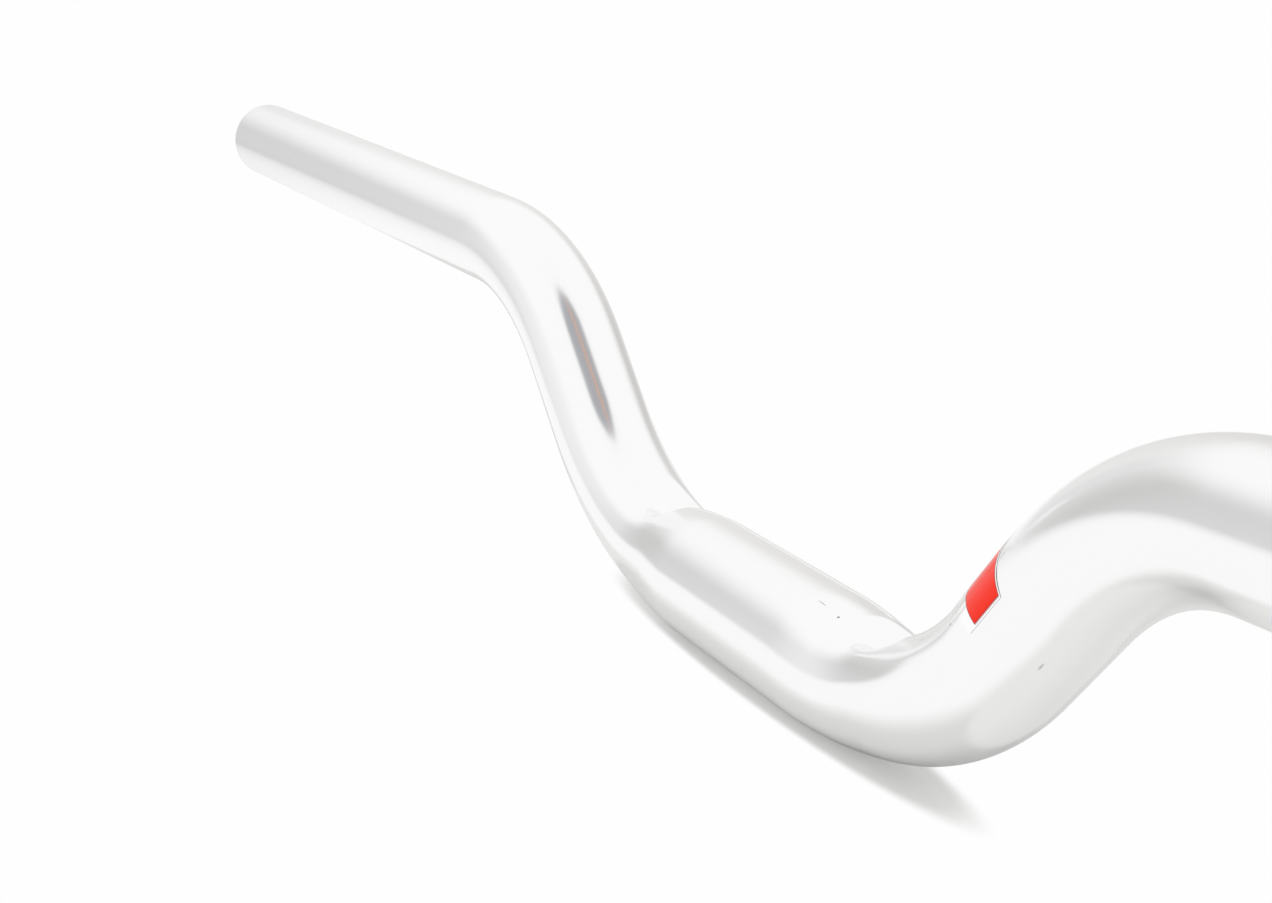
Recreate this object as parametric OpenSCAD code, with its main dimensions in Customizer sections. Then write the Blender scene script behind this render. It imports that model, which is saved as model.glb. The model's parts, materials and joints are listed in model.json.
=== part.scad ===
// Riser handlebar: one bent aluminium tube with a wider clamp section in the middle.
// Origin at the centre of the clamp section. +X runs along the bar to the labelled side,
// +Z is the way the bar rises, and the grips sweep back towards -Y, where the rider is.

/* [Tube] */
// Outside diameter of the tube, at the rises and the grips
tube_d = 22.2; // [20:0.1:25]
// Wall thickness of the tube
wall = 2.3; // [1.6:0.1:3.2]

/* [Clamp section] */
// Outside diameter of the section that the stem clamps
clamp_d = 25.4; // [25:0.1:31.8]
// Wall thickness of the clamp section
clamp_wall = 2.8; // [2:0.1:3.4]
// Length at the full clamp diameter
clamp_length = 48; // [30:1:120]
// Length of the smooth shoulder from the clamp diameter down to the tube
shoulder_length = 11; // [5:0.5:25]

/* [Rises] */
// Centreline radius of each lower bend
lower_bend_r = 66; // [55:1:110]
// Angle at which each rise climbs from the clamp section
rise_angle = 46; // [25:1:60]
// Straight length of each rise, between its two bends
rise_length = 20; // [17:1:80]
// Centreline radius of each upper bend
upper_bend_r = 68; // [55:1:110]

/* [Grips] */
// Angle by which the grips climb towards their ends
upsweep = 4.4; // [0:0.1:10]
// Angle by which the grips sweep back towards the rider
backsweep = 6.4; // [0:0.1:16]
// Straight length of each grip section, up to the open end
grip_length = 171; // [120:1:260]
// Chamfer on the outer and the inner edge of each open end
end_chamfer = 0.5; // [0.2:0.1:0.8]

/* [Pressed flats] */
// Depth of the flat that the bending die presses into the inside of each lower bend
flat_depth = 3.8; // [0.5:0.1:4.5]
// Radius of the die's nose, across the bend
flat_nose_r = 10; // [8:1:30]
// Angle round the lower bend at which the flat is deepest
flat_at = 9.5; // [8:0.5:30]

/* [Label] */
// Length of the label's clear film along the rise
label_length = 15.6; // [8:0.1:40]
// Angle of the tube's girth that the film wraps
label_wrap = 150; // [60:1:300]
// Angle from the top of the rise to the film's edge on the rider's side
label_edge = 89; // [30:1:150]
// Gap from the film to the start of the upper bend
label_gap = 0.4; // [0.2:0.1:8]
// Thickness of the film
label_t = 0.12; // [0.08:0.01:0.3]
// Thickness of the adhesive between the tube and the film
label_glue = 0.03; // [0.02:0.01:0.1]

/* [Hidden] */
$fn = 96;

tube_r = tube_d / 2;
bore_r = tube_r - wall;
clamp_r = clamp_d / 2;
clamp_bore_r = clamp_r - clamp_wall;
shoulder_steps = 10;
// How far a bend is drawn down in radius, and how far it reaches into its neighbours
bend_draw = 0.05;
bend_reach = 0.2;
// How far a cut runs past the faces that it opens
cut_margin = 1;
// The lower bend starts where the shoulder ends
lower_bend_x = clamp_length / 2 + shoulder_length;
// Direction of the grip in the frame of the rise, whose X runs up the rise
grip_along = cos(rise_angle) * cos(upsweep) * cos(backsweep) + sin(rise_angle) * sin(upsweep);
grip_side = -cos(upsweep) * sin(backsweep);
grip_up = cos(rise_angle) * sin(upsweep) - sin(rise_angle) * cos(upsweep) * cos(backsweep);
upper_bend_angle = acos(grip_along);
upper_bend_roll = atan2(-grip_side, grip_up);
aluminium = [0.80, 0.81, 0.82];
label_colour = [0.95, 0.28, 0.18];

// A cylinder that starts at the origin and runs along +X
module bar(r, length) {
    rotate([0, 90, 0]) cylinder(r = r, h = length);
}

// A bend that starts at the origin along +X and turns towards +Z. Bending draws the tube
// down a hair, and each end of the bend reaches a little way into the straight beside it.
module bend(r, bend_r, angle) {
    reach = bend_reach / bend_r * 180 / PI;
    translate([0, 0, bend_r])
        rotate([90, 90, 0])
            rotate(-reach)
                rotate_extrude(angle = angle + 2 * reach)
                    translate([bend_r, 0])
                        circle(r = r - bend_draw);
}

// Moves its children from the start of a bend to the bend's end, turned with the tube
module past_bend(bend_r, angle) {
    translate([bend_r * sin(angle), 0, bend_r * (1 - cos(angle))])
        rotate([0, -angle, 0])
            children();
}

module at_lower_bend() {
    translate([lower_bend_x, 0, 0]) children();
}

module at_rise() {
    at_lower_bend() past_bend(lower_bend_r, rise_angle) children();
}

module at_upper_bend() {
    at_rise() translate([rise_length, 0, 0]) rotate([upper_bend_roll, 0, 0]) children();
}

module at_grip() {
    at_upper_bend() past_bend(upper_bend_r, upper_bend_angle) children();
}

module both_sides() {
    children();
    mirror([1, 0, 0]) children();
}

// Radius of the shoulder at a share of its length, along half a cosine wave
function shoulder_r(share, from, to) = to + (from - to) * (1 + cos(180 * share)) / 2;

// The clamp section with its two shoulders, turned about the X axis
module centre_section(middle_r, end_r) {
    half = clamp_length / 2;
    shares = [for (i = [0:shoulder_steps]) i / shoulder_steps];
    right = [for (s = shares) [shoulder_r(s, middle_r, end_r), half + s * shoulder_length]];
    left = [for (i = [shoulder_steps:-1:0]) [right[i][0], -right[i][1]]];
    rotate([0, 90, 0])
        rotate_extrude()
            polygon(concat([[0, -lower_bend_x]], left, right, [[0, lower_bend_x]]));
}

// The nose of the bending die, lying across the inside of the lower bend
module die_nose(skin) {
    from_centre = lower_bend_r - tube_r + flat_depth - flat_nose_r;
    at_lower_bend()
        translate([from_centre * sin(flat_at), 0, lower_bend_r - from_centre * cos(flat_at)])
            rotate([90, 0, 0])
                cylinder(r = flat_nose_r + skin, h = 2 * clamp_d, center = true);
}

// Everything along the path, at one radius for the tube and one for the clamp section.
// The bore also runs a little past the open ends.
module path_solid(r, middle_r, skin, past_end) {
    difference() {
        union() {
            centre_section(middle_r, r);
            both_sides() {
                at_lower_bend() bend(r, lower_bend_r, rise_angle);
                at_rise() bar(r, rise_length);
                at_upper_bend() bend(r, upper_bend_r, upper_bend_angle);
                at_grip() bar(r, grip_length + past_end);
            }
        }
        both_sides() die_nose(skin);
    }
}

// The chamfers of an open end, as the material that is taken off: what lies outside one
// cone and inside another, both of which run past the edge on each side
module end_cut() {
    cone_length = end_chamfer + 2 * cut_margin;
    cone_end = end_chamfer + cut_margin;
    at_grip() translate([grip_length - cone_end, 0, 0]) rotate([0, 90, 0]) {
        difference() {
            cylinder(r = tube_r + 2 * cut_margin, h = cone_length);
            cylinder(r1 = tube_r + cut_margin, r2 = tube_r - cone_end, h = cone_length);
        }
        cylinder(r1 = bore_r - cut_margin, r2 = bore_r + cone_end, h = cone_length);
    }
}

module handlebar_tube() {
    color(aluminium) difference() {
        path_solid(tube_r, clamp_r, 0, 0);
        path_solid(bore_r, clamp_bore_r, wall, cut_margin);
        both_sides() end_cut();
    }
}

// The clear film with the label's print, wrapped over the top of the rise
module label() {
    color(label_colour)
        at_rise()
            translate([rise_length - label_gap - label_length, 0, 0])
                rotate([0, 90, 0])
                    rotate(180 - label_edge)
                        rotate_extrude(angle = label_wrap)
                            translate([tube_r + label_glue, 0])
                                square([label_t, label_length]);
}

handlebar_tube();
label();
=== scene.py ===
# Riser handlebar: the looks of one bent, polished aluminium tube with a film label.
# Everything is in metres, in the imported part's frame: the origin is at the middle of the
# clamp section, +X runs to the labelled side, +Z is up, and the rider sits towards -Y.
import json
import math

import bpy
from mathutils import Euler, Matrix, Vector

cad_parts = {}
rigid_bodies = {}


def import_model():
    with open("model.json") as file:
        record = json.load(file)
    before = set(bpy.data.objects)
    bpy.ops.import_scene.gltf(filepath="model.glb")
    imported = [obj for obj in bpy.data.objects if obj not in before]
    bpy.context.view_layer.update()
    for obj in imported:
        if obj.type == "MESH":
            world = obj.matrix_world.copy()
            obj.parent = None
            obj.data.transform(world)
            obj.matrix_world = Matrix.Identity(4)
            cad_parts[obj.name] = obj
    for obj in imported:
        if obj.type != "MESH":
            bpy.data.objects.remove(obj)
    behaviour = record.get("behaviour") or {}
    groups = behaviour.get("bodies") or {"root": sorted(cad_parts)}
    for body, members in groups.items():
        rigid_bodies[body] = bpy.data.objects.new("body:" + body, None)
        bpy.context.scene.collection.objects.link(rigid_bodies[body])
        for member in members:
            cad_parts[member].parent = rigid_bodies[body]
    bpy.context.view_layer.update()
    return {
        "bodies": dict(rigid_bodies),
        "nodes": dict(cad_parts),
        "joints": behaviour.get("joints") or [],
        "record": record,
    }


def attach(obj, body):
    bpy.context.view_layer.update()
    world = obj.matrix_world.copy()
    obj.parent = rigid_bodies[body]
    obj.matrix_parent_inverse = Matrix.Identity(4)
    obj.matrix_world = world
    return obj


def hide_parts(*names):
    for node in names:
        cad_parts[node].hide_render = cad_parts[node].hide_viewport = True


MM = 0.001

# The tube, as in the part's source
TUBE_R = 11.1 * MM
WALL = 2.3 * MM
CLAMP_R = 12.7 * MM
CLAMP_HALF = 24 * MM
SHOULDER = 11 * MM
LOWER_BEND_R = 66 * MM
RISE_ANGLE = math.radians(46)
RISE = 20 * MM
UPPER_BEND_R = 68 * MM
UPSWEEP = math.radians(4.4)
BACKSWEEP = math.radians(6.4)
GRIP = 171 * MM
END_CHAMFER = 0.5 * MM

# The real taper starts at the clamp section's end and runs on into the bend
TAPER_TO = 50 * MM

# The label, as in the part's source, but trimmed a little at the rider's side and half as
# thick
LABEL_LENGTH = 15.6 * MM
LABEL_WRAP = math.radians(146.5)
LABEL_EDGE = math.radians(85.5)
# The film's corner towards the clamp is cut off aslant, from its edge up to this angle
LABEL_CUT = 4.5 * MM
LABEL_CUT_FROM = math.radians(47)
LABEL_GAP = 0.4 * MM
LABEL_T = 0.06 * MM
LABEL_GLUE = 0.03 * MM

# How finely the tube is drawn: points round it, and rings along each stretch
ROUND = 96
CLAMP_RINGS = 6
SHOULDER_RINGS = 14
FOLD_RINGS = 110
LOWER_RINGS = 22
RISE_RINGS = 6
UPPER_RINGS = 40
GRIP_RINGS = 14
# The last ring before each open end stands this close to it, so the edge shades cleanly
END_RING = 1.0 * MM
# The first part of the lower bend holds the pressed fold, so its rings are closer
FOLD_SPAN = math.radians(26)
# The steps of each end's chamfer, the film's grid along the tube and round it, and the
# points round the floor
CHAMFER_STEPS = 4
FILM_ALONG = 8
FILM_ROUND = 60
FLOOR_POINTS = 96
# Points this close are joined where the two halves meet
JOIN_WITHIN = 0.01 * MM
# How far a point may lie off a place and still count as there
TOLERANCE = 0.1 * MM
# Edges that turn by less than this are shaded smooth
SMOOTH_UNDER = math.radians(35)

# The hollow that bending pressed into the inside of each lower bend: it starts, is
# deepest and ends at these path lengths, sits turned a little away from the rider, and
# reaches so far round the tube
HOLLOW_FROM = 38.2 * MM
HOLLOW_AT = 46.3 * MM
HOLLOW_TO = 61 * MM
HOLLOW_DEPTH = 4.1 * MM
HOLLOW_TURN = math.radians(-7)
HOLLOW_REACH = math.radians(50)
# A shallower flat lies under it and runs on up the bend
FLAT_FROM = 37 * MM
FLAT_TO = 80 * MM
FLAT_DEPTH = 0.8 * MM
FLAT_TURN = math.radians(-2)
FLAT_REACH = math.radians(60)
# At the bottom the metal has buckled into one short, sharp crease between two low lips
CREASE_AT = 46.3 * MM
CREASE_HALF = 0.8 * MM
CREASE_DEPTH = 0.5 * MM
CREASE_ROUND = 0.12
CREASE_TURN = math.radians(-3)
CREASE_REACH = math.radians(27)
LIPS_AT = (45.2 * MM, 47.4 * MM)
LIP_HALF = 0.7 * MM
LIP_HEIGHT = 0.3 * MM
LIP_REACH = math.radians(25)

# The camera of the photograph
CAMERA_AT = Vector((0.310797, -0.154913, 0.124473))
CAMERA_TURN = Euler((math.radians(75.26519), math.radians(1.86899), math.radians(66.97890)))
CAMERA_LENS = 54.2931
CAMERA_SENSOR = 36.0
CAMERA_NEAREST = 0.01
CAMERA_FARTHEST = 20

# The pits and the two short scratches of the metal: path length, angle from the tube's
# top, radius there, size, how many times longer than wide, and how dark it is
PITS = (
    (35.0 * MM, math.radians(18), 12.1 * MM, 0.38 * MM, 1, 1.0),
    (13.2 * MM, math.radians(110), 12.7 * MM, 0.30 * MM, 1, 0.8),
    (90.3 * MM, math.radians(60), 11.1 * MM, 0.35 * MM, 1, 0.7),
    (29.0 * MM, math.radians(16), 12.6 * MM, 0.17 * MM, 14, 0.6),
    (103.2 * MM, math.radians(142), 11.1 * MM, 0.26 * MM, 5, 0.45),
)
# The share of a pit's size that is its evenly dark middle
PIT_MIDDLE = 0.4

# The metal: its colour and a pit's, how rough it is between its brightest and its dullest
# draw lines, the size and height of those lines and of the faint ripples under them, and
# the span of the noise that draws them
METAL_COLOUR = "#FAFAFA"
PIT_COLOUR = "#8A8884"
POLISH_ROUGHNESS = (0.13, 0.18)
DRAW_LENGTH = 60 * MM
DRAW_WIDTH = 1.2 * MM
DRAW_HEIGHT = 0.0006 * MM
RIPPLE_WIDTH = 18 * MM
RIPPLE_HEIGHT = 0.03 * MM
NOISE_SPAN = (0.3, 0.7)

# The print: where its red field starts as a share of the film, its white border, its
# outline, and how soft its edges are as a share of the film
PRINT_FROM = 0.21
PRINT_BORDER = 0.35 * MM
PRINT_OUTLINE = 0.22 * MM
PRINT_SOFT = 0.006
# The film's colours and its gloss
FILM_COLOUR = "#FDFDFD"
OUTLINE_COLOUR = "#9C1A10"
INK_COLOUR = "#FE2808"
FILM_ROUGHNESS = 0.1
FILM_IOR = 1.34
FILM_SPECULAR = 0.1

# The floor, and the ovals in which it keeps its shade: where the oval's middle lies along
# the tube and across it, its half length and half width, and how soft its edge is as a
# share of those. In the ovals the floor is a grey sheet, so their shade is partly painted
# shade. In view the shade is only the narrow one of contact.
FLOOR_R = 1.1
SHADE_IN_VIEW = (0, 0.1 * MM, 70.5 * MM, 8.5 * MM, 0.22)
SHADE_LIGHTENED = 0.33
# Gloss shows a wider shade, but for a painted pool of light on the floor under the start
# of each rise, which stands in for the light that the tube throws back there
SHADE_IN_GLOSS = (0, 43 * MM, 450 * MM, 67 * MM, 0.24)
PAINTED_THROWN_LIGHT = (106 * MM, 10 * MM, 34 * MM, 60 * MM, 0.12)
PAINTED_LIGHT_STRENGTH = 0.4
# Towards its rim the floor darkens in gloss to the tone of the walls
RIM_TONE = "#DCDCDB"
RIM_FROM = 0.35
# The sheet's grey, darker than the white floor round it, is painted shade where the ovals show
# it
SHEET_AND_PAINTED_SHADE_COLOUR = "#DDDDDB"
SHEET_ROUGHNESS = 0.06
# The plain white of the background, as the camera sees it
BACKGROUND_COLOUR = "#FEFEFE"

# The tones of the tent's walls by heading, in degrees from +X towards +Y
WALL_TONES = (
    (-180, "#DEDEDD"),
    (-165, "#CCCCCB"),
    (-150, "#DADADA"),
    (-135, "#F0F0F0"),
    (-110, "#F6F6F6"),
    (60, "#F2F2F1"),
    (105, "#DBDAD8"),
    (120, "#CCCBC9"),
    (135, "#DCDBD9"),
    (150, "#E8E7E5"),
    (165, "#ECECEB"),
    (172, "#E4E4E4"),
)
# Between these two heights above the horizon the walls fade to the top's white
WALLS_FADE_FROM = math.radians(13)
WALLS_FADE_TO = math.radians(31)
TENT_TOP_COLOUR = "#FFFFFF"
# The open top behind the camera, as a patch of directions seen from above: its middle, its
# half sizes and the share of them at which its edge starts to fade
OPENING_AT = (0.38, -0.16)
OPENING_HALF = (0.42, 0.33)
OPENING_EDGE = 0.75
OPENING_COLOUR = "#ACADB1"
# The warm stripe of light across the opening, which fades in along +X
STRIPE_AT = -0.1
STRIPE_HALF = 0.022
STRIPE_SOFT = 0.015
STRIPE_FADES_IN = (0.05, 0.2)
STRIPE_COLOUR = "#EBAE86"
# The strength of the light that the tent throws, and the softbox: its power in watts, its
# width and where it hangs
TENT_LIGHT = 0.82
SOFTBOX_POWER = 10.0
SOFTBOX_SIZE = 1.4
SOFTBOX_AT = Vector((0.2, -0.75, 1.3))


def moved(x, y, z):
    return Matrix.Translation((x, y, z))


def past_bend(radius, angle):
    """The frame at the end of a bend that starts at the origin along +X and turns to +Z."""
    end = moved(radius * math.sin(angle), 0, radius * (1 - math.cos(angle)))
    return end @ Matrix.Rotation(-angle, 4, "Y")


# The frames along the tube's right half, and the path length at which each one starts
AT_LOWER_BEND = moved(CLAMP_HALF + SHOULDER, 0, 0)
AT_RISE = AT_LOWER_BEND @ past_bend(LOWER_BEND_R, RISE_ANGLE)
GRIP_DIRECTION = Vector((
    math.cos(UPSWEEP) * math.cos(BACKSWEEP),
    -math.cos(UPSWEEP) * math.sin(BACKSWEEP),
    math.sin(UPSWEEP),
))
GRIP_FROM_RISE = AT_RISE.to_3x3().inverted() @ GRIP_DIRECTION
UPPER_ANGLE = math.acos(GRIP_FROM_RISE.x)
UPPER_ROLL = math.atan2(-GRIP_FROM_RISE.y, GRIP_FROM_RISE.z)
AT_UPPER_BEND = AT_RISE @ moved(RISE, 0, 0) @ Matrix.Rotation(UPPER_ROLL, 4, "X")
AT_GRIP = AT_UPPER_BEND @ past_bend(UPPER_BEND_R, UPPER_ANGLE)
LOWER_START = CLAMP_HALF + SHOULDER
RISE_START = LOWER_START + LOWER_BEND_R * RISE_ANGLE
UPPER_START = RISE_START + RISE
GRIP_START = UPPER_START + UPPER_BEND_R * UPPER_ANGLE
TUBE_END = GRIP_START + GRIP


def unbent(point, frame, radius):
    """A point beside a bend, as (path length past its start, across, up)."""
    local = frame.inverted() @ point
    angle = math.atan2(local.x, radius - local.z)
    return Vector((radius * angle, local.y, radius - math.hypot(local.x, radius - local.z)))


def straightened(point):
    """Where a point of the right half would be if the tube were pulled straight along +X."""
    unroll = Matrix.Rotation(UPPER_ROLL, 3, "X")
    local = AT_GRIP.inverted() @ point
    if local.x > 0:
        return unroll @ local + Vector((GRIP_START, 0, 0))
    local = unbent(point, AT_UPPER_BEND, UPPER_BEND_R)
    if local.x > 0:
        return unroll @ local + Vector((UPPER_START, 0, 0))
    local = AT_RISE.inverted() @ point
    if local.x > 0:
        return local + Vector((RISE_START, 0, 0))
    local = unbent(point, AT_LOWER_BEND, LOWER_BEND_R)
    if local.x > 0:
        return local + Vector((LOWER_START, 0, 0))
    return point.copy()


def tube_radius(along):
    """The tube's radius: the clamp section's, then down along half a cosine to the tube's."""
    share = (along - CLAMP_HALF) / (TAPER_TO - CLAMP_HALF)
    share = min(1.0, max(0.0, share))
    return TUBE_R + (CLAMP_R - TUBE_R) * (1 + math.cos(math.pi * share)) / 2


def select_nothing():
    bpy.ops.object.select_all(action="DESELECT")


def only(piece):
    select_nothing()
    piece.select_set(True)
    bpy.context.view_layer.objects.active = piece


def apply_modifier(piece, kind, **settings):
    only(piece)
    modifier = piece.modifiers.new(kind.lower(), kind)
    for name, value in settings.items():
        setattr(modifier, name, value)
    bpy.ops.object.modifier_apply(modifier=modifier.name)


def place_in_mesh(piece):
    """Puts a piece's place, turn and scale into its mesh, so its object sits at the origin."""
    only(piece)
    bpy.ops.object.transform_apply(location=True, rotation=True, scale=True)


def extrude(step):
    bpy.ops.mesh.extrude_region_move(TRANSFORM_OT_translate={"value": step})


def extrude_straight(direction, length, rings):
    for _ in range(rings):
        extrude(direction * (length / rings))


def spin_bend(frame, radius, angle, rings):
    """Spins the selected ring round a bend's centre, which is straight up in its frame."""
    centre = frame @ Vector((0, 0, radius))
    axis = frame.to_3x3() @ Vector((0, 1, 0))
    bpy.ops.mesh.spin(steps=rings, angle=angle, center=centre, axis=axis)


def draw_right_half():
    """The right half's outer skin, one ring drawn out along the whole path."""
    select_nothing()
    bpy.ops.mesh.primitive_circle_add(
        vertices=ROUND, radius=TUBE_R, rotation=(0, math.pi / 2, 0))
    tube = bpy.context.object
    tube.name = "polished_tube"
    place_in_mesh(tube)
    bpy.ops.object.mode_set(mode="EDIT")
    bpy.ops.mesh.select_all(action="SELECT")
    forward = Vector((1, 0, 0))
    extrude_straight(forward, CLAMP_HALF, CLAMP_RINGS)
    extrude_straight(forward, SHOULDER, SHOULDER_RINGS)
    spin_bend(AT_LOWER_BEND, LOWER_BEND_R, FOLD_SPAN, FOLD_RINGS)
    spin_bend(AT_LOWER_BEND, LOWER_BEND_R, RISE_ANGLE - FOLD_SPAN, LOWER_RINGS)
    extrude_straight(AT_RISE.to_3x3() @ forward, RISE, RISE_RINGS)
    spin_bend(AT_UPPER_BEND, UPPER_BEND_R, UPPER_ANGLE, UPPER_RINGS)
    along_grip = AT_GRIP.to_3x3() @ forward
    extrude_straight(along_grip, GRIP - END_RING, GRIP_RINGS)
    extrude(along_grip * END_RING)
    bpy.ops.object.mode_set(mode="OBJECT")
    return tube


def bump(distance, reach):
    """Half a cosine wave: 1 in the middle, easing to 0 at the reach."""
    return (1 + math.cos(math.pi * min(1.0, abs(distance) / reach))) / 2


def crease(distance, reach):
    """A straight-sided groove's share of its depth, with its bottom slightly rounded."""
    share = min(1.0, abs(distance) / reach)
    deepest = math.hypot(1, CREASE_ROUND) - CREASE_ROUND
    return 1 - (math.hypot(share, CREASE_ROUND) - CREASE_ROUND) / deepest


def lopsided_bump(along, start, middle, end):
    """A bump along the tube that is longer on one side than on the other."""
    return bump(along - middle, middle - start if along < middle else end - middle)


def fold_depth(along, turn):
    """How far the surface sinks at a path length and an angle from the tube's top."""
    hollow = HOLLOW_DEPTH * lopsided_bump(along, HOLLOW_FROM, HOLLOW_AT, HOLLOW_TO)
    hollow *= bump(turn - HOLLOW_TURN, HOLLOW_REACH)
    flat = FLAT_DEPTH * lopsided_bump(along, FLAT_FROM, HOLLOW_AT, FLAT_TO)
    flat *= bump(turn - FLAT_TURN, FLAT_REACH)
    groove = CREASE_DEPTH * crease(along - CREASE_AT, CREASE_HALF)
    groove *= bump(turn - CREASE_TURN, CREASE_REACH)
    lips = LIP_HEIGHT * sum(bump(along - lip, LIP_HALF) for lip in LIPS_AT)
    lips *= bump(turn - CREASE_TURN, LIP_REACH)
    return hollow + flat + groove - lips


def shape_middle(tube):
    """Swells the clamp section with its tapers, and sinks the fold of each lower bend."""
    for vertex in tube.data.vertices:
        side = -1 if vertex.co.x < 0 else 1
        pulled = straightened(Vector((abs(vertex.co.x), vertex.co.y, vertex.co.z)))
        if pulled.x > FLAT_TO:
            continue
        angle = max(0.0, pulled.x - LOWER_START) / LOWER_BEND_R
        turn = math.atan2(-pulled.y, pulled.z)
        swell = tube_radius(pulled.x) - TUBE_R
        up = swell * math.cos(turn)
        if pulled.x > FLAT_FROM:
            up -= fold_depth(pulled.x, turn)
        across = -swell * math.sin(turn)
        vertex.co += Vector((-side * up * math.sin(angle), across, up * math.cos(angle)))


def chamfer_ends(tube):
    """Breaks the outer and the inner edge of each open end."""
    only(tube)
    for edge in tube.data.edges:
        ends = [tube.data.vertices[i].co for i in edge.vertices]
        pulled = [straightened(Vector((abs(co.x), co.y, co.z))) for co in ends]
        edge.select = all(p.x > TUBE_END - TOLERANCE for p in pulled)
        radii = [math.hypot(p.y, p.z) for p in pulled]
        if abs(radii[0] - radii[1]) > TOLERANCE:
            edge.select = False
    bpy.ops.object.mode_set(mode="EDIT")
    bpy.ops.mesh.bevel(offset=END_CHAMFER, segments=CHAMFER_STEPS, profile=0.5)
    bpy.ops.object.mode_set(mode="OBJECT")


def store_straight_place(piece):
    """Keeps each point's straightened place, which the metal's patterns follow."""
    places = piece.data.attributes.new("along_tube", "FLOAT_VECTOR", "POINT")
    for vertex in piece.data.vertices:
        right = Vector((abs(vertex.co.x), vertex.co.y, vertex.co.z))
        pulled = straightened(right)
        if vertex.co.x < 0:
            pulled.x = -pulled.x
        places.data[vertex.index].vector = pulled


def make_tube():
    tube = draw_right_half()
    apply_modifier(tube, "MIRROR", use_axis=(True, False, False), merge_threshold=JOIN_WITHIN)
    only(tube)
    bpy.ops.object.mode_set(mode="EDIT")
    bpy.ops.mesh.select_all(action="SELECT")
    bpy.ops.mesh.normals_make_consistent(inside=False)
    bpy.ops.mesh.select_all(action="DESELECT")
    bpy.ops.object.mode_set(mode="OBJECT")
    shape_middle(tube)
    apply_modifier(tube, "SOLIDIFY", thickness=WALL, offset=-1, use_even_offset=True)
    chamfer_ends(tube)
    store_straight_place(tube)
    only(tube)
    bpy.ops.object.shade_smooth_by_angle(angle=SMOOTH_UNDER)
    return tube


def make_label():
    """The film, a flat sheet laid round the top of the labelled side's rise."""
    select_nothing()
    bpy.ops.mesh.primitive_grid_add(
        x_subdivisions=FILM_ALONG, y_subdivisions=FILM_ROUND, size=1)
    film = bpy.context.object
    film.name = "label_film"
    for vertex in film.data.vertices:
        turn = LABEL_EDGE - (vertex.co.y + 0.5) * LABEL_WRAP
        cut = max(0.0, (turn - LABEL_CUT_FROM) / (LABEL_EDGE - LABEL_CUT_FROM)) * LABEL_CUT
        end = RISE - LABEL_GAP
        along = end - (0.5 - vertex.co.x) * (LABEL_LENGTH - cut)
        radius = TUBE_R + LABEL_GLUE
        local = Vector((along, -radius * math.sin(turn), radius * math.cos(turn)))
        vertex.co = AT_RISE @ local
    apply_modifier(film, "SOLIDIFY", thickness=LABEL_T, offset=1, use_even_offset=True)
    only(film)
    bpy.ops.object.shade_smooth_by_angle(angle=SMOOTH_UNDER)
    return film


def linear(hex_colour):
    """An sRGB hex colour as the linear RGBA that a shader takes."""
    parts = [int(hex_colour[i:i + 2], 16) / 255 for i in (1, 3, 5)]
    lit = [p / 12.92 if p <= 0.04045 else ((p + 0.055) / 1.055) ** 2.4 for p in parts]
    return (*lit, 1.0)


def add(tree, kind, settings=None, **links):
    """Adds a node. A link's name is the input, and its value a socket or a plain value."""
    node = tree.nodes.new(kind)
    for name, value in (settings or {}).items():
        setattr(node, name, value)
    for name, value in links.items():
        key = int(name[1:]) if name[0] == "i" and name[1:].isdigit() else name.replace("_", " ")
        if isinstance(value, bpy.types.NodeSocket):
            tree.links.new(value, node.inputs[key])
        else:
            node.inputs[key].default_value = value
    return node


def new_material(name):
    material = bpy.data.materials.new(name)
    material.use_nodes = True
    material.node_tree.nodes.clear()
    return material


def calculate(tree, operation, first, second):
    """The result of one operation on two numbers, each a socket or a plain value."""
    node = add(tree, "ShaderNodeMath", {"operation": operation}, i0=first, i1=second)
    return node.outputs[0]


def mix_colours(tree, share, first, second):
    """The first colour at a share of 0, and the second at a share of 1."""
    node = add(
        tree, "ShaderNodeMix", {"data_type": "RGBA"}, i0=share, i6=first, i7=second)
    return node.outputs[2]


def far_from(tree, place, spot, scale):
    """How far a place is from a spot, with each axis scaled on its own."""
    offset = add(tree, "ShaderNodeVectorMath", {"operation": "SUBTRACT"}, i0=place, i1=spot)
    scaled = add(
        tree, "ShaderNodeVectorMath", {"operation": "MULTIPLY"},
        i0=offset.outputs[0], i1=scale)
    away = add(tree, "ShaderNodeVectorMath", {"operation": "LENGTH"}, i0=scaled.outputs[0])
    return away.outputs["Value"]


def eased(tree, value, start, end, at_start, at_end):
    """Runs smoothly from one value to another while the input goes from start to end."""
    node = add(
        tree, "ShaderNodeMapRange", {"interpolation_type": "SMOOTHSTEP"},
        Value=value, From_Min=start, From_Max=end, To_Min=at_start, To_Max=at_end)
    return node.outputs[0]


def metal_pits(tree, place):
    """How far each point lies in one of the few pits, from 0 outside to 1 in the middle."""
    deepest = 0.0
    for along, turn, radius, size, longer, dark in PITS:
        spot = Vector((along, -radius * math.sin(turn), radius * math.cos(turn)))
        away = far_from(tree, place, spot, Vector((1 / longer, 1, 1)))
        inside = eased(tree, away, PIT_MIDDLE * size, size, dark, 0.0)
        deepest = calculate(tree, "MAXIMUM", deepest, inside)
    return deepest


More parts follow.
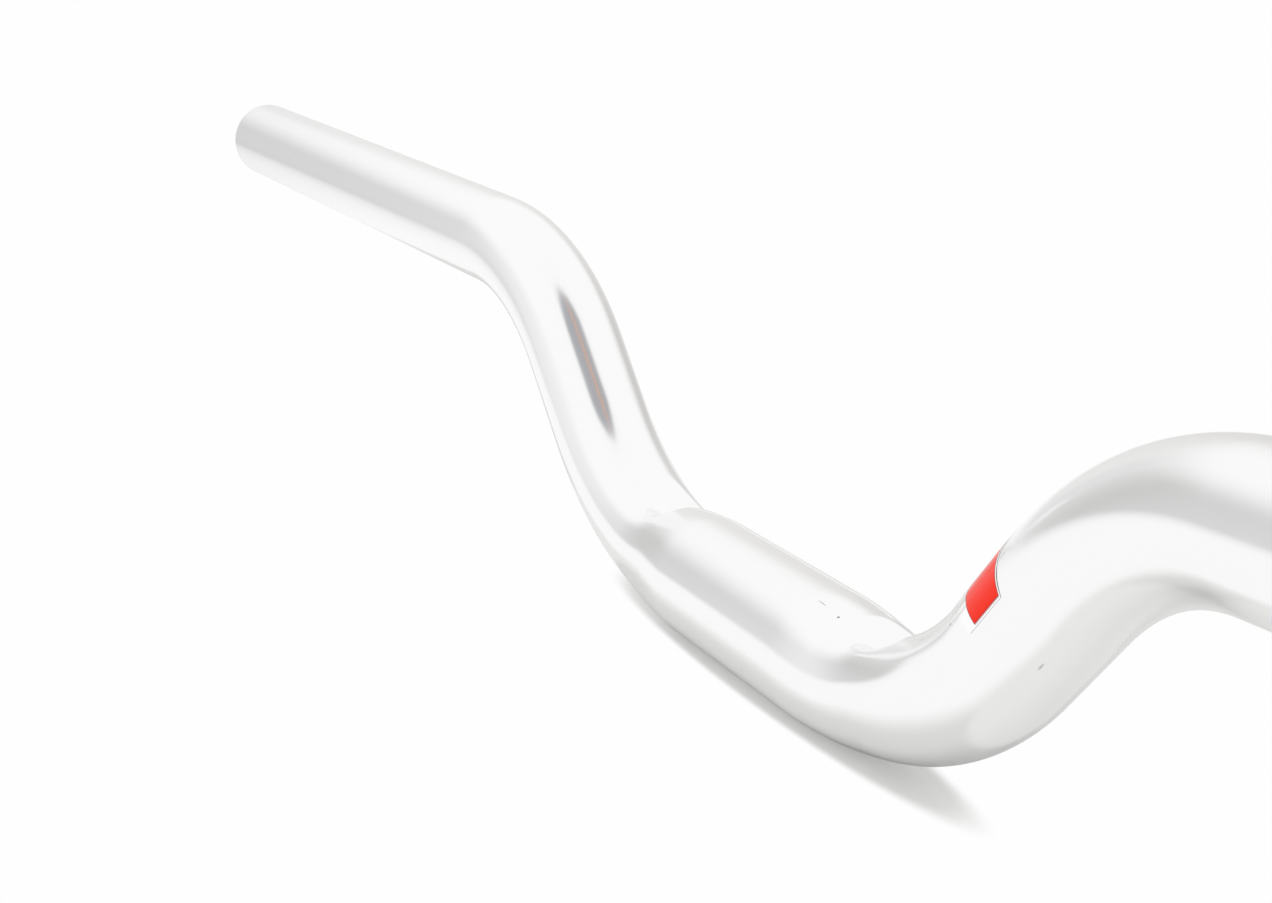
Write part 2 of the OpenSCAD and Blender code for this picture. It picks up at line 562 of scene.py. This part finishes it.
def polished_anodised_aluminium():
    """Bar-drawn aluminium, buffed and clear anodised: a bright, nearly white metal whose
    reflections are a little soft, with the finest draw and buffing lines along the tube."""
    material = new_material("polished_anodised_aluminium")
    tree = material.node_tree
    place = add(tree, "ShaderNodeAttribute", {"attribute_name": "along_tube"})
    lines = add(
        tree, "ShaderNodeMapping", Vector=place.outputs["Vector"],
        Scale=(1 / DRAW_LENGTH, 1 / DRAW_WIDTH, 1 / DRAW_WIDTH))
    draw = add(
        tree, "ShaderNodeTexNoise", Vector=lines.outputs[0],
        Scale=1.0, Detail=3.0, Roughness=0.6)
    wave = add(
        tree, "ShaderNodeTexNoise", Vector=place.outputs["Vector"],
        Scale=1 / RIPPLE_WIDTH, Detail=2.0)
    rough = add(
        tree, "ShaderNodeMapRange", Value=draw.outputs[0],
        From_Min=NOISE_SPAN[0], From_Max=NOISE_SPAN[1],
        To_Min=POLISH_ROUGHNESS[0], To_Max=POLISH_ROUGHNESS[1])
    ripple = add(
        tree, "ShaderNodeBump", Height=wave.outputs[0], Strength=1.0, Distance=RIPPLE_HEIGHT)
    fine = add(
        tree, "ShaderNodeBump", Height=draw.outputs[0], Normal=ripple.outputs[0],
        Strength=1.0, Distance=DRAW_HEIGHT)
    pits = metal_pits(tree, place.outputs["Vector"])
    colour = mix_colours(tree, pits, linear(METAL_COLOUR), linear(PIT_COLOUR))
    metal = add(
        tree, "ShaderNodeBsdfPrincipled", Base_Color=colour, Metallic=1.0,
        Roughness=rough.outputs[0], Normal=fine.outputs[0])
    add(tree, "ShaderNodeOutputMaterial", Surface=metal.outputs[0])
    return material


def inside_edges(tree, value, low, high, soft):
    """1 between two edges and 0 outside them, with edges this soft."""
    rising = add(
        tree, "ShaderNodeMapRange", Value=value, From_Min=low - soft, From_Max=low + soft)
    falling = add(
        tree, "ShaderNodeMapRange", Value=value, From_Min=high - soft, From_Max=high + soft,
        To_Min=1.0, To_Max=0.0)
    return calculate(tree, "MULTIPLY", rising.outputs[0], falling.outputs[0])


def printed_field(tree, parts, inset):
    """1 on the print, less a margin of this width, and 0 on the film round it."""
    along_share = (PRINT_BORDER + inset) / LABEL_LENGTH
    round_share = (PRINT_BORDER + inset) / (TUBE_R * LABEL_WRAP)
    along = inside_edges(
        tree, parts.outputs["X"], PRINT_FROM + inset / LABEL_LENGTH, 1 - along_share,
        PRINT_SOFT)
    round_it = inside_edges(
        tree, parts.outputs["Y"], round_share, 1 - round_share, PRINT_SOFT)
    return calculate(tree, "MULTIPLY", along, round_it)


def printed_vinyl_film():
    """Clear self-adhesive film, printed with one warm red field that has a thin darker
    outline. Round the print the bright metal shows through, so it mirrors the tent."""
    material = new_material("printed_vinyl_film")
    tree = material.node_tree
    sheet = add(tree, "ShaderNodeUVMap", {"uv_map": "UVMap"})
    parts = add(tree, "ShaderNodeSeparateXYZ", Vector=sheet.outputs[0])
    field = printed_field(tree, parts, 0.0)
    inner = printed_field(tree, parts, PRINT_OUTLINE)
    ink = mix_colours(tree, inner, linear(OUTLINE_COLOUR), linear(INK_COLOUR))
    print_on_film = mix_colours(tree, field, linear(FILM_COLOUR), ink)
    bare = calculate(tree, "SUBTRACT", 1.0, field)
    film = add(
        tree, "ShaderNodeBsdfPrincipled", Base_Color=print_on_film, Metallic=bare,
        Roughness=FILM_ROUGHNESS, IOR=FILM_IOR, Specular_IOR_Level=FILM_SPECULAR)
    add(tree, "ShaderNodeOutputMaterial", Surface=film.outputs[0])
    return material


def shown_in_gloss(tree):
    """1 for the rays that show a background in gloss and through glass."""
    path = add(tree, "ShaderNodeLightPath")
    return calculate(
        tree, "MAXIMUM", path.outputs["Is Glossy Ray"], path.outputs["Is Transmission Ray"])


def shown_to_camera(tree):
    """1 for the rays that come straight to the camera."""
    return add(tree, "ShaderNodeLightPath").outputs["Is Camera Ray"]


def floor_oval(tree, parts, oval, inside, outside):
    """One value inside an oval on the floor and on its mirror image, and another outside."""
    at_x, at_y, half_x, half_y, soft = oval
    along = add(tree, "ShaderNodeMath", {"operation": "ABSOLUTE"}, i0=parts.outputs["X"])
    point = add(tree, "ShaderNodeCombineXYZ", X=along.outputs[0], Y=parts.outputs["Y"])
    middle = Vector((at_x, at_y, 0))
    away = far_from(tree, point.outputs[0], middle, Vector((1 / half_x, 1 / half_y, 1)))
    return eased(tree, away, 1 - soft / 2, 1 + soft / 2, inside, outside)


def white_acrylic():
    """A sheet of opal acrylic as the floor, with a gloss that mirrors the tube. Past
    the tube's shade it is the plain white background; in the ovals it is a grey sheet, whose
    grey is painted shade."""
    material = new_material("white_acrylic_floor")
    tree = material.node_tree
    # The grey sheet, seen only in the ovals, is painted shade on top of the shade it gets
    sheet = add(
        tree, "ShaderNodeBsdfPrincipled",
        Base_Color=linear(SHEET_AND_PAINTED_SHADE_COLOUR), Roughness=SHEET_ROUGHNESS)
    place = add(tree, "ShaderNodeTexCoord")
    parts = add(tree, "ShaderNodeSeparateXYZ", Vector=place.outputs["Object"])
    in_view = calculate(
        tree, "MULTIPLY", floor_oval(tree, parts, SHADE_IN_VIEW, SHADE_LIGHTENED, 1.0),
        shown_to_camera(tree))
    # In gloss the floor shows its wide shade, less a painted pool of light under each rise
    lit = calculate(
        tree, "MAXIMUM", floor_oval(tree, parts, SHADE_IN_GLOSS, 0.0, 1.0),
        floor_oval(tree, parts, PAINTED_THROWN_LIGHT, PAINTED_LIGHT_STRENGTH, 0.0))
    in_gloss = calculate(tree, "MULTIPLY", lit, shown_in_gloss(tree))
    plain = calculate(tree, "MAXIMUM", in_view, in_gloss)
    away = add(
        tree, "ShaderNodeVectorMath", {"operation": "LENGTH"}, i0=place.outputs["Object"])
    to_rim = add(
        tree, "ShaderNodeMapRange", Value=away.outputs["Value"],
        From_Min=RIM_FROM, From_Max=FLOOR_R)
    rim = calculate(tree, "MULTIPLY", to_rim.outputs[0], shown_in_gloss(tree))
    tone = mix_colours(tree, rim, linear(BACKGROUND_COLOUR), linear(RIM_TONE))
    white = add(tree, "ShaderNodeEmission", Color=tone, Strength=1.0)
    floor = add(
        tree, "ShaderNodeMixShader", Fac=plain, i1=sheet.outputs[0], i2=white.outputs[0])
    add(tree, "ShaderNodeOutputMaterial", Surface=floor.outputs[0])
    return material


def make_floor():
    select_nothing()
    bpy.ops.mesh.primitive_circle_add(
        vertices=FLOOR_POINTS, radius=FLOOR_R, fill_type="NGON", location=(0, 0, -CLAMP_R))
    floor = bpy.context.object
    floor.name = "floor"
    place_in_mesh(floor)
    floor.data.materials.append(white_acrylic())


def tent_walls(tree, parts):
    """The walls' tones by heading, which fade to the white top with height."""
    heading = calculate(tree, "ARCTAN2", parts.outputs["Y"], parts.outputs["X"])
    turn = add(
        tree, "ShaderNodeMapRange", Value=heading, From_Min=-math.pi, From_Max=math.pi)
    walls = add(tree, "ShaderNodeValToRGB", Fac=turn.outputs[0])
    stops = walls.color_ramp.elements
    while len(stops) < len(WALL_TONES):
        stops.new(1.0)
    for stop, (degrees, tone) in zip(stops, WALL_TONES):
        stop.position = (degrees + 180) / 360
        stop.color = linear(tone)
    height = eased(
        tree, parts.outputs["Z"], math.sin(WALLS_FADE_FROM), math.sin(WALLS_FADE_TO),
        0.0, 1.0)
    return mix_colours(tree, height, walls.outputs[0], linear(TENT_TOP_COLOUR))


def tent_opening(tree, parts):
    """How far a direction lies in the tent's open top behind the camera, which is dark."""
    flat = add(
        tree, "ShaderNodeCombineXYZ", X=parts.outputs["X"], Y=parts.outputs["Y"])
    scale = Vector((1 / OPENING_HALF[0], 1 / OPENING_HALF[1], 1))
    away = far_from(tree, flat.outputs[0], Vector((*OPENING_AT, 0)), scale)
    inside = eased(tree, away, OPENING_EDGE, 1.0, 1.0, 0.0)
    above = calculate(tree, "GREATER_THAN", parts.outputs["Z"], 0.0)
    return calculate(tree, "MULTIPLY", inside, above)


def warm_stripe(tree, parts):
    """How far a direction lies in the warm stripe of light across the opening."""
    across = inside_edges(
        tree, parts.outputs["Y"], STRIPE_AT - STRIPE_HALF, STRIPE_AT + STRIPE_HALF,
        STRIPE_SOFT)
    begun = add(
        tree, "ShaderNodeMapRange", Value=parts.outputs["X"],
        From_Min=STRIPE_FADES_IN[0], From_Max=STRIPE_FADES_IN[1])
    return calculate(tree, "MULTIPLY", across, begun.outputs[0])


def light_the_room():
    """A white tent of light with toned walls and an open, dark top behind the camera. Gloss
    shows it at full brightness, the camera sees plain white, and all else gets its light."""
    world = bpy.data.worlds.new("white_tent")
    bpy.context.scene.world = world
    world.use_nodes = True
    tree = world.node_tree
    tree.nodes.clear()
    direction = add(tree, "ShaderNodeTexCoord")
    parts = add(tree, "ShaderNodeSeparateXYZ", Vector=direction.outputs["Generated"])
    opened = mix_colours(
        tree, tent_opening(tree, parts), tent_walls(tree, parts), linear(OPENING_COLOUR))
    warmed = mix_colours(tree, warm_stripe(tree, parts), opened, linear(STRIPE_COLOUR))
    camera_ray = shown_to_camera(tree)
    shown = mix_colours(tree, camera_ray, warmed, linear(BACKGROUND_COLOUR))
    bright = calculate(tree, "MAXIMUM", camera_ray, shown_in_gloss(tree))
    strength = add(tree, "ShaderNodeMapRange", Value=bright, To_Min=TENT_LIGHT, To_Max=1.0)
    light = add(tree, "ShaderNodeBackground", Color=shown, Strength=strength.outputs[0])
    add(tree, "ShaderNodeOutputWorld", Surface=light.outputs[0])


def hang_softbox():
    """One wide softbox above the rider's side, aimed at the clamp section. Gloss doesn't
    show it."""
    facing = (-SOFTBOX_AT).to_track_quat("-Z", "Y").to_euler()
    bpy.ops.object.light_add(type="AREA", location=SOFTBOX_AT, rotation=facing)
    lamp = bpy.context.object
    lamp.name = "overhead_softbox"
    lamp.data.shape = "SQUARE"
    lamp.data.size = SOFTBOX_SIZE
    lamp.data.energy = SOFTBOX_POWER
    lamp.visible_glossy = False


def set_camera():
    camera = bpy.data.cameras.new("photograph_camera")
    camera.lens = CAMERA_LENS
    camera.sensor_fit = "HORIZONTAL"
    camera.sensor_width = CAMERA_SENSOR
    camera.clip_start = CAMERA_NEAREST
    camera.clip_end = CAMERA_FARTHEST
    stand = bpy.data.objects.new("photograph_camera", camera)
    stand.location = CAMERA_AT
    stand.rotation_euler = CAMERA_TURN
    bpy.context.scene.collection.objects.link(stand)
    bpy.context.scene.camera = stand


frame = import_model()

tube = make_tube()
tube.data.materials.append(polished_anodised_aluminium())
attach(tube, "root")
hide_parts("handlebar_tube")

label = make_label()
label.data.materials.append(printed_vinyl_film())
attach(label, "root")
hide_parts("label")

make_floor()
light_the_room()
hang_softbox()
set_camera()
bpy.context.scene.view_settings.view_transform = "Standard"
